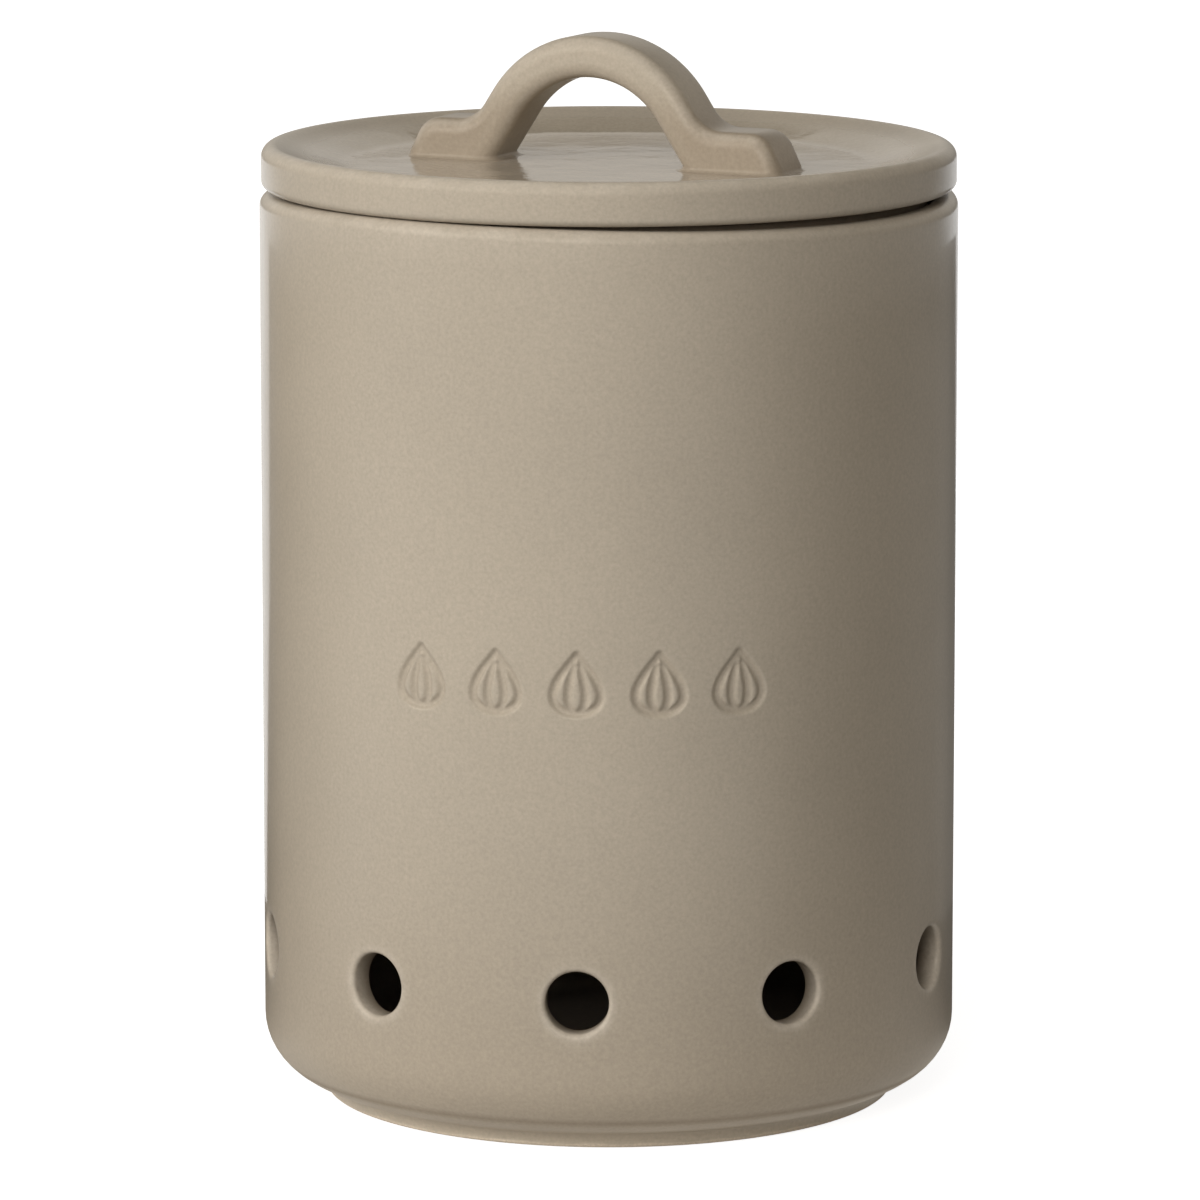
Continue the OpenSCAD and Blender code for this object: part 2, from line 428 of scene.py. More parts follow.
def open_vents(bm, jar, vents):
    """Opens round vents through the wall of the turned jar, and rounds their lips."""
    hole = vents.diameter / 2
    zone = (PATCH_CELLS + 0.5) * CELL
    inmost = JAR_R - 1.5 * jar.wall
    wall = [v for v in bm.verts if abs(v.co.z - vents.height) < zone and reach(v) > inmost]
    inside = []
    for turn in vent_turns(vents):
        for vert in wall:
            column = round(offset_from(vert, turn) / COLUMN_TURN)
            if abs(column) > PATCH_CELLS:
                continue
            row = round((vert.co.z - vents.height) / CELL)
            if max(abs(column), abs(row)) < LIP_CELLS:
                inside.append(vert)
                continue
            radius = reach(vert)
            along, up = round_cell(column, row, hole)
            set_reach(vert, radius, turn + along / radius)
            vert.co.z = vents.height + up
    bmesh.ops.delete(bm, geom=inside, context="VERTS")
    lips = [e for e in bm.edges if e.is_boundary]
    outer_lips = [e for e in lips if reach(e.verts[0]) > JAR_R - jar.wall / 2]
    inner_lips = [e for e in lips if reach(e.verts[0]) < JAR_R - jar.wall / 2]
    for turn in vent_turns(vents):
        loops = [e for e in lips if abs(offset_from(e.verts[0], turn)) < math.pi / vents.number]
        bmesh.ops.bridge_loops(bm, edges=loops)
    for edges, rounding in ((outer_lips, vents.lip), (inner_lips, vents.inner_lip)):
        bmesh.ops.bevel(
            bm, geom=edges, offset=rounding, offset_type="OFFSET", segments=LIP_SEGMENTS, profile=0.5,
            affect="EDGES", material=-1,
        )
    bmesh.ops.recalc_face_normals(bm, faces=bm.faces)


def bulb_lines(band):
    """Points along the drawn lines of a row of bulbs, in the unrolled wall."""
    points = []
    first = -(band.bulbs - 1) / 2
    for number in range(band.bulbs):
        middle = (first + number) * band.pitch
        for step in range(-BULB_STEPS, BULB_STEPS + 1):
            turn = math.pi * step / BULB_STEPS
            swell = BULB_FULLNESS * math.sin(turn) * abs(math.sin(turn / 2)) ** BULB_POINT
            aside = band.bulb_width * swell
            up = band.height + band.bulb_height / 2 * math.cos(turn)
            points.append((middle + aside, up))
            if abs(turn) >= RIB_START:
                points.append((middle + RIB_SHARE * aside, up))
    return points


def impress_band(bm, band):
    """Presses a row of bulbs into the front of the wall, and marks its lines darker with pooled glaze and
    painted shade.
    """
    half_width = (band.bulbs - 1) * band.pitch / 2 + band.bulb_width / 2 + band.groove
    half_turn = math.ceil(half_width / CELL + 0.5) * COLUMN_TURN
    half_height = (band_rows(band) + 0.5) * CELL

    def in_band(vert):
        return (reach(vert) > JAR_R - CELL and abs(vert.co.z - band.height) < half_height
                and abs(offset_from(vert, FRONT_TURN)) < half_turn)

    edges = [e for e in bm.edges if in_band(e.verts[0]) and in_band(e.verts[1])]
    bmesh.ops.subdivide_edges(bm, edges=edges, cuts=BAND_CUTS, use_grid_fill=True)
    points = bulb_lines(band)
    lines = kdtree.KDTree(len(points))
    for index, (along, up) in enumerate(points):
        lines.insert((along, up, 0), index)
    lines.balance()
    thick_and_shade = bm.verts.layers.float.new(THICK_AND_SHADE_LAYER)
    for vert in bm.verts:
        if in_band(vert):
            turn = offset_from(vert, FRONT_TURN)
            _, _, gap = lines.find((JAR_R * turn, vert.co.z, 0))
            pressed = 1 - smooth_step(*GROOVE_SIDE, gap / band.groove)
            set_reach(vert, JAR_R - band.depth * pressed, FRONT_TURN + turn)
            # Darker lines: glaze pooled in them, and painted shade
            vert[thick_and_shade] = GROOVE_GLAZE_AND_SHADE * pressed


def warp_rim(bm, jar):
    """Lets the rim sink a little on two opposite sides, as a tall jar's rim does in the firing."""
    start = JAR_HIGH.z - jar.warp
    for vert in bm.verts:
        if vert.co.z > start:
            turn = offset_from(vert, jar.rim_dip_way)
            dip = jar.rim_dip * (1 + math.cos(2 * turn)) / 2
            vert.co.z -= dip * smooth_step(start, JAR_HIGH.z, vert.co.z)


def mark_jar(bm, jar, vents):
    """Marks the thin glaze and painted highlight over lips and rim, painted shade at the base, and painted
    shade inside.
    """
    thin_and_highlight = bm.verts.layers.float.new(THIN_AND_HIGHLIGHT_LAYER)
    inside = bm.verts.layers.float.new(INSIDE_SHADE_LAYER)
    thick_and_shade = bm.verts.layers.float[THICK_AND_SHADE_LAYER]
    for vert in bm.verts:
        if vert.co.z > JAR_LOW.z + jar.floor / 2:
            # Painted shade inside the jar
            vert[inside] = smooth_step(*INSIDE_EDGE, (JAR_R - reach(vert)) / jar.wall)
        rim = smooth_step(JAR_HIGH.z - jar.rim_dip - jar.rim_outer, JAR_HIGH.z, vert.co.z)
        turn = offset_from(vert, FRONT_TURN) * vents.number
        along = math.remainder(turn, FULL_TURN) / vents.number * reach(vert)
        gap = math.hypot(along, vert.co.z - vents.height) - vents.diameter / 2
        # Painted highlight with the glaze's break over the rim and the vents' lips
        vert[thin_and_highlight] = max(rim, 1 - smooth_step(0, vents.lip + LIP_FADE, gap))
        # Painted shade, darker towards the bottom
        vert[thick_and_shade] += BASE_SHADE * (1 - smooth_step(*BASE_FADE, vert.co.z / jar.base_corner))


class OBJECT_OT_keeper_jar(bpy.types.Operator):
    """Turn the jar, open its vents and press in the row of bulbs"""
    bl_idname = "object.keeper_jar"
    bl_label = "Jar"

    def execute(self, context):
        keeper = context.scene.onion_keeper
        bm = lathe(jar_outline(keeper.jar, keeper.vents, keeper.band), JAR_COLUMNS)
        open_vents(bm, keeper.jar, keeper.vents)
        impress_band(bm, keeper.band)
        warp_rim(bm, keeper.jar)
        mark_jar(bm, keeper.jar, keeper.vents)
        glaze = satin_glaze(keeper.finishes, "Satin glaze", gloss=0.36, dull=0.42, coat=0.5)
        settle(bm, "glazed_jar", "jar", "jar_body", glaze)
        return {"FINISHED"}


# The foot ring, the lid and its locating ring

RING_COLUMNS = 240
# The waves in the dish die away between these shares of its radius
WAVES_FADE = (0.8, 1)
# Where the crest is highest, in from the lid's edge, and how far the thin glaze and painted highlight
# reach, in crest radii
CREST_PLACE = 0.4
CREST_FADE = 1.3
# The painted shade under the lid begins between these multiples of the low edge's radius, in from the
# lid's edge
UNDER_EDGE = (1, 2.5)


def ring_underside(inner, outer, low, edge):
    """The lower side of a ring's section with its two rounded edges, from the inside out."""
    return (
        arc((inner + edge, low + edge), edge, 180, 270, steps=6)
        + arc((outer - edge, low + edge), edge, 270, 360, steps=6)
    )


def foot_outline(jar, foot):
    """The foot ring's section, with glaze drawn up into the hollow under the jar's base corner."""
    outer = FOOT_HIGH.x - SKIN
    inner = outer - foot.width
    reach_up = math.sqrt((jar.base_corner + foot.hollow) ** 2 - foot.hollow ** 2)
    hollow_z = JAR_LOW.z + jar.base_corner - reach_up
    touch = 90 + math.degrees(math.atan2(foot.hollow, reach_up))
    return (
        [(inner, FOOT_HIGH.z)] + ring_underside(inner, outer, FOOT_LOW.z, foot.edge)
        + arc((outer + foot.hollow, hollow_z), foot.hollow, 180, touch, steps=8)
    )


class OBJECT_OT_keeper_foot(bpy.types.Operator):
    """Turn the foot ring that the jar stands on"""
    bl_idname = "object.keeper_foot"
    bl_label = "Foot ring"

    def execute(self, context):
        keeper = context.scene.onion_keeper
        bm = lathe(foot_outline(keeper.jar, keeper.foot), RING_COLUMNS, closed=True)
        settle(bm, "foot_ring_wiped", "jar", "foot_ring", wiped_foot(keeper.finishes))
        return {"FINISHED"}


class OBJECT_OT_keeper_locating_ring(bpy.types.Operator):
    """Turn the ring under the lid that drops into the jar's mouth"""
    bl_idname = "object.keeper_locating_ring"
    bl_label = "Locating ring"

    def execute(self, context):
        keeper = context.scene.onion_keeper
        outer = RING_HIGH.x - SKIN
        inner = outer - keeper.lid.ring_wall
        outline = ring_underside(inner, outer, RING_LOW.z, keeper.lid.ring_edge)
        bm = lathe([(outer, RING_HIGH.z), (inner, RING_HIGH.z)] + outline, RING_COLUMNS, closed=True)
        # The whole ring takes the inside's painted shade
        inside = bm.verts.layers.float.new(INSIDE_SHADE_LAYER)
        for vert in bm.verts:
            vert[inside] = 1
        glaze = satin_glaze(keeper.finishes, "Dull inside glaze", gloss=0.4, dull=0.5)
        settle(bm, "locating_ring_glazed", "lid", "lid_locating_ring", glaze)
        return {"FINISHED"}


def lid_outline(lid):
    """The lid's half section: out along the underside, over the crest and down to the plate's middle."""
    outer, low = LID_HIGH.x + lid.glaze_roll, LID_LOW.z
    crest_z, plate_z = LID_HIGH.z - SKIN, HANDLE_LOW.z
    slope = math.degrees(lid.dish_slope)
    low_edge = arc((outer - lid.low_edge, low + lid.low_edge), lid.low_edge, -90, 0, steps=7)
    crest = arc((outer - lid.crest, crest_z - lid.crest), lid.crest, 0, 90 + slope, steps=14)
    drop = crest[-1][1] - plate_z - lid.dish_hollow * (1 - math.cos(lid.dish_slope))
    foot_r = crest[-1][0] - drop / math.tan(lid.dish_slope) - lid.dish_hollow * math.sin(lid.dish_slope)
    hollow = arc((foot_r, plate_z + lid.dish_hollow), lid.dish_hollow, slope - 90, -90, steps=10)
    return (
        [(0, low)] + between((0, low), low_edge[0], steps=4)
        + low_edge + between(low_edge[-1], crest[0], steps=4)
        + crest + between(crest[-1], hollow[0], steps=8)
        + hollow + between(hollow[-1], (0, plate_z), steps=40) + [(0, plate_z)]
    )


def ripple_plate(bm, lid):
    """Raises low waves in the glaze that has pooled in the dish, and none towards the lid's edge."""
    still = LID_HIGH.x - 2 * lid.crest
    for vert in bm.verts:
        if vert.co.z > HANDLE_LOW.z - MM and vert.normal.z > 0.5:
            wave = noise.noise(vert.co / lid.wave) + 0.5 * noise.noise(vert.co / lid.small_wave)
            vert.co.z += lid.ripple * wave * (1 - smooth_step(*WAVES_FADE, reach(vert) / still))


def mark_lid(bm, lid):
    """Marks the thin glaze and painted highlight over the crest, and painted shade underneath."""
    thin_and_highlight = bm.verts.layers.float.new(THIN_AND_HIGHLIGHT_LAYER)
    inside = bm.verts.layers.float.new(INSIDE_SHADE_LAYER)
    crest_r = LID_HIGH.x - CREST_PLACE * lid.crest
    for vert in bm.verts:
        if vert.co.z < LID_LOW.z + WELD:
            # Painted shade under the lid
            vert[inside] = smooth_step(*UNDER_EDGE, (LID_HIGH.x - reach(vert)) / lid.low_edge)
        gap = math.hypot(reach(vert) - crest_r, vert.co.z - LID_HIGH.z)
        # Painted highlight with the glaze's break over the crest
        vert[thin_and_highlight] = 1 - smooth_step(0, CREST_FADE, gap / lid.crest)


class OBJECT_OT_keeper_lid(bpy.types.Operator):
    """Turn the dished lid"""
    bl_idname = "object.keeper_lid"
    bl_label = "Lid plate"

    def execute(self, context):
        keeper = context.scene.onion_keeper
        bm = lathe(lid_outline(keeper.lid), RING_COLUMNS)
        bm.normal_update()
        ripple_plate(bm, keeper.lid)
        mark_lid(bm, keeper.lid)
        settle(bm, "dished_lid", "lid", "lid_plate", pooled_glaze(keeper.finishes))
        return {"FINISHED"}


# The strap handle

ARCH_STEPS = 40
PAD_STEPS = 12
FILLET_STEPS = 6
EDGE_SEGMENTS = 8
# Edges with a sharper turn than this are rounded
SHARP = math.radians(40)
# Width of the rim of small faces that keeps the strap's flat sides flat
SIDE_RIM = 0.4 * MM
# How far the strap runs on below the plate before it is cut off there
STRAP_ROOT = 6 * MM
# Faces that point this far sideways are the strap's flat sides
SIDE_FACING = 0.999
# Inward share of the direction between which the fillet takes its reach under the arch
INWARD = (0.2, 0.8)
# Sideways share of the normal on the strap's rounded edges, how strong the thin glaze and painted
# highlight are there, from 0 to 1, and the gaps from that share over which they fade out again
EDGE_SLANT = 0.7
EDGE_THIN_AND_HIGHLIGHT = 0.7
EDGE_FADE = (0.04, 0.32)
# The painted shade on the feet fades out between these multiples of a foot's height
FEET_FADE = (0.7, 2.4)


def strap_outline(handle):
    """The strap's outline in its own plane: over both feet and the arch, and back under the arch."""
    lean = math.pi / 2 - handle.leg_angle
    outer_r = handle.arch + handle.thickness
    bend_z = handle.pad_height + handle.bend
    leg_x = outer_r * math.cos(lean) + handle.leg * math.cos(handle.leg_angle)
    leg_z = bend_z - handle.bend * math.sin(lean)
    outer_z = leg_z + handle.leg * math.sin(handle.leg_angle) - outer_r * math.sin(lean)
    inner_z = outer_z - handle.crown + handle.thickness
    bend_x = leg_x + handle.bend * math.cos(lean)
    turn, end_turn = math.degrees(lean), 90 - math.degrees(handle.end_angle)

    def root(top, steepness):
        return top[0] + (top[1] + STRAP_ROOT) / math.tan(steepness), -STRAP_ROOT

    under = arc((0, inner_z), handle.arch, turn, 180 - turn, ARCH_STEPS)
    over = arc((0, outer_z), outer_r, turn, 180 - turn, ARCH_STEPS)
    feet = []
    for flat in (handle.pad_flat + handle.arch_shift, handle.pad_flat - handle.arch_shift):
        end = (bend_x + flat, handle.pad_height - handle.pad_end)
        top = arc(end, handle.pad_end, end_turn, 90, PAD_STEPS)
        top += arc((bend_x, bend_z), handle.bend, 270, 180 + turn, PAD_STEPS)
        feet.append([root(under[0], handle.leg_angle), root(top[0], handle.end_angle)] + top)
    right, left = feet
    return right + over + [(-u, z) for u, z in reversed(left)] + under[::-1]


def bend_strap(handle):
    """The bent strap with rounded edges, with the plate at z = 0 and its width along Y."""
    bm = bmesh.new()
    verts = [bm.verts.new((u, -handle.width / 2, z)) for u, z in strap_outline(handle)]
    edges = [bm.edges.new(pair) for pair in zip(verts, verts[1:] + verts[:1])]
    side = bmesh.ops.edgeloop_fill(bm, edges=edges)["faces"]
    grown = bmesh.ops.extrude_face_region(bm, geom=side, use_keep_orig=True)["geom"]
    across = [g for g in grown if isinstance(g, bmesh.types.BMVert)]
    bmesh.ops.translate(bm, verts=across, vec=(0, handle.width, 0))
    bmesh.ops.recalc_face_normals(bm, faces=bm.faces)
    edges = [
        e for e in bm.edges
        if e.calc_face_angle() > SHARP and max(v.co.z for v in e.verts) > WELD - STRAP_ROOT
    ]
    bmesh.ops.bevel(
        bm, geom=edges, offset=handle.edge, offset_type="OFFSET", segments=EDGE_SEGMENTS, profile=0.5,
        affect="EDGES", material=-1,
    )
    sides = [f for f in bm.faces if abs(f.normal.y) > SIDE_FACING and f.calc_area() > handle.edge ** 2]
    bmesh.ops.inset_region(bm, faces=sides, thickness=SIDE_RIM, use_even_offset=True)
    return bm


def lute_feet(bm, handle):
    """Cuts the strap off over the plate, and draws the cut out into a hollow fillet of glaze."""
    bmesh.ops.bisect_plane(
        bm, geom=bm.verts[:] + bm.edges[:] + bm.faces[:], dist=WELD,
        plane_co=(0, 0, handle.luting), plane_no=(0, 0, 1), clear_inner=True,
    )
    bm.normal_update()
    start = bm.verts.layers.float_vector.new("start")
    draw = bm.verts.layers.float_vector.new("draw")
    rim = [e for e in bm.edges if e.is_boundary]
    for vert in {v for e in rim for v in e.verts}:
        way = Vector((vert.normal.x, vert.normal.y, 0)).normalized()
        inner = smooth_step(*INWARD, -way.x * math.copysign(1, vert.co.x))
        vert[start] = vert.co
        vert[draw] = way * (handle.luting + (handle.inner_luting - handle.luting) * inner)
    for step in range(1, FILLET_STEPS + 1):
        turn = math.pi / 2 * step / FILLET_STEPS
        grown = bmesh.ops.extrude_edge_only(bm, edges=rim)["geom"]
        rim = [g for g in grown if isinstance(g, bmesh.types.BMEdge)]
        for vert in (g for g in grown if isinstance(g, bmesh.types.BMVert)):
            vert.co = vert[start] + vert[draw] * (1 - math.cos(turn))
            vert.co.z = handle.luting * (1 - math.sin(turn)) - SKIN
    bmesh.ops.holes_fill(bm, edges=[e for e in bm.edges if e.is_boundary], sides=0)
    for name in ("start", "draw"):
        bm.verts.layers.float_vector.remove(bm.verts.layers.float_vector[name])
    bmesh.ops.recalc_face_normals(bm, faces=bm.faces)


def mark_strap(bm, handle):
    """Marks the thin glaze and painted highlight along the strap's edges, and painted shade towards its
    feet.
    """
    thin_and_highlight = bm.verts.layers.float.new(THIN_AND_HIGHLIGHT_LAYER)
    thick_and_shade = bm.verts.layers.float.new(THICK_AND_SHADE_LAYER)
    bm.normal_update()
    for vert in bm.verts:
        gap = abs(abs(vert.normal.y) - EDGE_SLANT)
        on_strap = vert.co.z > 2 * handle.luting
        # Painted highlight with the glaze's break along the rounded edges
        vert[thin_and_highlight] = EDGE_THIN_AND_HIGHLIGHT * (1 - smooth_step(*EDGE_FADE, gap)) if on_strap else 0
        # Painted shade, darker towards the feet
        vert[thick_and_shade] = 1 - smooth_step(*FEET_FADE, vert.co.z / handle.pad_height)


class OBJECT_OT_keeper_handle(bpy.types.Operator):
    """Bend the strap handle and lute it to the lid"""
    bl_idname = "object.keeper_handle"
    bl_label = "Strap handle"

    def execute(self, context):
        keeper = context.scene.onion_keeper
        handle = keeper.handle
        bm = bend_strap(handle)
        lute_feet(bm, handle)
        mark_strap(bm, handle)
        bmesh.ops.scale(bm, vec=(1, 1, (HANDLE_H - SKIN) / HANDLE_H), verts=bm.verts)
        bmesh.ops.translate(bm, verts=bm.verts, vec=(-handle.arch_shift - handle.shift, 0, 0))
        turn_verts(bm, bm.verts, handle.turn)
        bmesh.ops.translate(bm, verts=bm.verts, vec=(0, 0, HANDLE_LOW.z))
        glaze = satin_glaze(keeper.finishes, "Soft satin glaze", gloss=0.34, dull=0.42, coat=0.3)
        settle(bm, "strap_handle", "lid", "lid_handle", glaze)
        return {"FINISHED"}


# Finishes

GLAZE_COLOURS = ("Glaze", "Thick glaze", "Thin glaze", "Inside glaze", "Iron speck")
# The Thick mark lays painted shade and pooled glaze, the Thin mark a painted highlight with the glaze's
# break, and the Inside mark painted shade
GLAZE_MARKS = {"Thick": THICK_AND_SHADE_LAYER, "Thin": THIN_AND_HIGHLIGHT_LAYER, "Inside": INSIDE_SHADE_LAYER}
# Scales of the noises and of the specks' cells, to the metre
CLOUD_SCALE = 16
TOOTH_SCALE = 1150
BREAK_SCALE = 240
SPECK_SCALE = 75
DULL_SCALE = 60
WAVE_SCALE = 130
RAGGED_SCALE = 90
GRIT_SCALE = 1400
# Nearly all of a noise lies between these values, and of the tooth's and the broken edge's
NOISE_ENDS = (0.3, 0.7)
TOOTH_ENDS = (0.25, 0.75)
BREAK_ENDS = (0.35, 0.65)
# How far the glaze's clouds and tooth and the clay's grit darken and lighten the colour
CLOUD_TONES = (0.965, 1.035)
TOOTH_TONES = (0.91, 1.09)
GRIT_TONES = (0.82, 1.12)
# How much of the thin glaze's colour and painted highlight shows along an edge
BREAK_SHARES = (0.35, 0.75)
# Chance values of the cells with a speck, the largest radius in cells, and how far it covers the glaze
SPECKED = (0.9, 1)
SPECK_RADIUS = 0.028
SPECK_COVER = 0.75
# Depth of the glaze's tooth, and how many times deeper the waves in the pool and on the lid's edge are
TOOTH_DEPTH = 0.02 * MM
POOL_WAVES = 7.0
EDGE_WAVES = 0.5
# Roughness in the pool and on the lid's edge, with the edge's coat, and of the foot's clay and glaze
POOL_GLOSS = (0.04, 0.1)
EDGE_GLOSS = (0.42, 0.5)
EDGE_COAT = 0.5
CLAY_ROUGHNESS = 0.85
FOOT_ROUGHNESS = 0.4
# How much rougher the glaze is inside and beside the foot
INSIDE_DULLNESS = 0.4
FOOT_DULLNESS = 0.1
# The coat sets in between these shares of facing away from the eye
GLANCE = (0.62, 0.85)
COAT_ROUGHNESS = 0.1
# Heights over which the glaze turns satin and its coat sets in, and over which the foot's glaze starts
SATIN_RISE = (6 * MM, 18 * MM)
COAT_RISE = (14 * MM, 30 * MM)
BARE_RISE = (0.6 * MM, 1.2 * MM)
RAGGED = 0.25 * MM
# Distances from the axis between which the pool in the dish gives way to the lid's edge
POOL_EDGE = (66 * MM, 78 * MM)


def add_node(tree, kind, settings=None, **inputs):
    """A new node with its settings and the values of its named inputs."""
    node = tree.nodes.new(kind)
    for name, value in (settings or {}).items():
        setattr(node, name, value)
    for name, value in inputs.items():
        node.inputs[name].default_value = value
    return node


def feed(tree, value, socket):
    """Links a socket to another, or sets its value."""
    if isinstance(value, bpy.types.NodeSocket):
        tree.links.new(value, socket)
    elif socket.type == "RGBA":
        socket.default_value = (*value[:3], 1)
    else:
        socket.default_value = value


def mixed(tree, share, low, high, kind="RGBA"):
    """Mixes two colours, or two values of kind FLOAT; each of the three may be a socket or a value."""
    mix = add_node(tree, "ShaderNodeMix", {"data_type": kind})
    side, result = {"RGBA": (6, 2), "FLOAT": (2, 0)}[kind]
    for place, value in ((0, share), (side, low), (side + 1, high)):
        feed(tree, value, mix.inputs[place])
    return mix.outputs[result]


def sums(tree, operation, first, second, third=0.0):
    """A math node on sockets or values."""
    node = add_node(tree, "ShaderNodeMath", {"operation": operation})
    for socket, value in zip(node.inputs, (first, second, third)):
        feed(tree, value, socket)
    return node.outputs[0]


def spread(tree, value, from_low, from_high, to_low, to_high, kind="LINEAR"):
    """Maps a value from one range to another, held to its ends."""
    node = add_node(tree, "ShaderNodeMapRange", {"interpolation_type": kind})
    for socket, given in zip(node.inputs, (value, from_low, from_high, to_low, to_high)):
        feed(tree, given, socket)
    return node.outputs[0]


def eased(tree, value, ends, low, high):
    """Maps a value between two ends to another range, with an easy run."""
    return spread(tree, value, *ends, low, high, "SMOOTHSTEP")


def grain(tree, place, scale, detail=3, roughness=0.5):
    """Noise over a place, from 0 to 1."""
    node = add_node(tree, "ShaderNodeTexNoise", Scale=scale, Detail=detail, Roughness=roughness)
    feed(tree, place, node.inputs["Vector"])
    return node.outputs["Fac"]


def wander(tree, place, scale, low, high, roughness=0.5):
    """Noise over a place that wanders between two values."""
    return spread(tree, grain(tree, place, scale, roughness=roughness), *NOISE_ENDS, low, high)


def marked(tree, layer):
    """A mark that the mesh carries."""
    return add_node(tree, "ShaderNodeAttribute", {"attribute_name": layer}).outputs["Fac"]


def height_of(tree, place):
    apart = add_node(tree, "ShaderNodeSeparateXYZ")
    feed(tree, place, apart.inputs[0])
    return apart.outputs["Z"]


def away_from_axis(tree, place):
    """How far a place lies from the Z axis."""
    flat = add_node(tree, "ShaderNodeVectorMath", {"operation": "MULTIPLY"})
    feed(tree, place, flat.inputs[0])
    flat.inputs[1].default_value = (1, 1, 0)
    away = add_node(tree, "ShaderNodeVectorMath", {"operation": "LENGTH"})
    feed(tree, flat.outputs[0], away.inputs[0])
    return away.outputs["Value"]


def toned(tree, tint, tone):
    """A colour made paler or darker by a tone."""
    node = add_node(tree, "ShaderNodeVectorMath", {"operation": "SCALE"})
    feed(tree, tint, node.inputs[0])
    feed(tree, tone, node.inputs["Scale"])
    return node.outputs[0]


def new_group(name, inputs, outputs):
    """An empty node group with named sockets, given as (name, socket type) pairs."""
    group = bpy.data.node_groups.new(name, "ShaderNodeTree")
    for way, sockets in (("INPUT", inputs), ("OUTPUT", outputs)):
        for label, kind in sockets:
            group.interface.new_socket(label, in_out=way, socket_type="NodeSocket" + kind)
    return group, group.nodes.new("NodeGroupInput").outputs, group.nodes.new("NodeGroupOutput").inputs


def speckled_glaze():
    """The group that gives every glazed piece its mottled, speckled colour and its fine tooth, and lays
    the marked painted shade and painted highlight.
    """
    name = "Speckled glaze"
    if name in bpy.data.node_groups:
        return bpy.data.node_groups[name]
    colours = [(label, "Color") for label in GLAZE_COLOURS]
    marks = [(label, "Float") for label in GLAZE_MARKS]
    group, given, made = new_group(
        name,
        [("Place", "Vector")] + colours + marks,
        [("Colour", "Color"), ("Tooth", "Float"), ("Dullness", "Float")],
    )
    place = given["Place"]
    fine = grain(group, place, TOOTH_SCALE, detail=2, roughness=0.6)
    cloud = wander(group, place, CLOUD_SCALE, *CLOUD_TONES)
    tone = sums(group, "MULTIPLY", cloud, spread(group, fine, *TOOTH_ENDS, *TOOTH_TONES))
    patchy = spread(group, grain(group, place, BREAK_SCALE, detail=2), *BREAK_ENDS, *BREAK_SHARES)
    # Painted highlight on the edges, and painted shade from the Thick and Inside marks
    broken_and_highlit = sums(group, "MULTIPLY", given["Thin"], patchy)
    body = mixed(group, given["Thick"], given["Glaze"], given["Thick glaze"])
    outside = mixed(group, broken_and_highlit, body, given["Thin glaze"])
    mottled = toned(group, mixed(group, given["Inside"], outside, given["Inside glaze"]), tone)
    cells = add_node(group, "ShaderNodeTexVoronoi", {"feature": "F1"}, Scale=SPECK_SCALE)
    feed(group, place, cells.inputs["Vector"])
    chosen = add_node(group, "ShaderNodeSeparateColor")
    feed(group, cells.outputs["Color"], chosen.inputs[0])
    radius = spread(group, chosen.outputs[0], *SPECKED, 0, SPECK_RADIUS)
    speck = sums(group, "LESS_THAN", cells.outputs["Distance"], radius)
    cover = sums(group, "MULTIPLY", speck, SPECK_COVER)
    feed(group, mixed(group, cover, mottled, given["Iron speck"]), made["Colour"])
    feed(group, fine, made["Tooth"])
    feed(group, wander(group, place, DULL_SCALE, 0, 1), made["Dullness"])
    return group


def glazed_material(name, finishes):
    """A material with the speckled glaze set up, and the nodes that a finish still has to join."""
    material = bpy.data.materials.new(name)
    material.use_nodes = True
    tree = material.node_tree
    shader = tree.nodes["Principled BSDF"]
    place = add_node(tree, "ShaderNodeTexCoord").outputs["Object"]
    glaze = add_node(tree, "ShaderNodeGroup", {"node_tree": speckled_glaze()})
    feed(tree, place, glaze.inputs["Place"])
    for label in GLAZE_COLOURS:
        feed(tree, getattr(finishes, label.lower().replace(" ", "_")), glaze.inputs[label])
    for label, layer in GLAZE_MARKS.items():
        feed(tree, marked(tree, layer), glaze.inputs[label])
    feed(tree, glaze.outputs["Colour"], shader.inputs["Base Color"])
    bump = add_node(tree, "ShaderNodeBump", Strength=1.0, Distance=TOOTH_DEPTH)
    feed(tree, glaze.outputs["Tooth"], bump.inputs["Height"])
    feed(tree, bump.outputs[0], shader.inputs["Normal"])
    return material, tree, shader, place, glaze, bump


def set_gloss(tree, shader, rough, coat=None):
    """Sets a glaze's roughness, more of it inside, and the coat that shows outside at a glance."""
    inside = marked(tree, INSIDE_SHADE_LAYER)
    dull = sums(tree, "MULTIPLY_ADD", inside, INSIDE_DULLNESS, rough)
    feed(tree, dull, shader.inputs["Roughness"])
    if coat is None:
        return
    facing = add_node(tree, "ShaderNodeLayerWeight", Blend=0.5).outputs["Facing"]
    glance = eased(tree, facing, GLANCE, 0, 1)
    outside = sums(tree, "MULTIPLY", glance, sums(tree, "SUBTRACT", 1, inside))
    feed(tree, sums(tree, "MULTIPLY", outside, coat), shader.inputs["Coat Weight"])
    shader.inputs["Coat Roughness"].default_value = COAT_ROUGHNESS


def satin_glaze(finishes, name, gloss, dull, coat=None):
    """A satin glaze whose roughness wanders between two values, with less gloss near the foot."""
    material, tree, shader, place, glaze, _ = glazed_material(name, finishes)
    height = height_of(tree, place)
    matt = eased(tree, height, SATIN_RISE, FOOT_DULLNESS, 0)
    satin = spread(tree, glaze.outputs["Dullness"], 0, 1, gloss, dull)
    rising = None if coat is None else eased(tree, height, COAT_RISE, 0, coat)
    set_gloss(tree, shader, sums(tree, "ADD", satin, matt), rising)
    return material


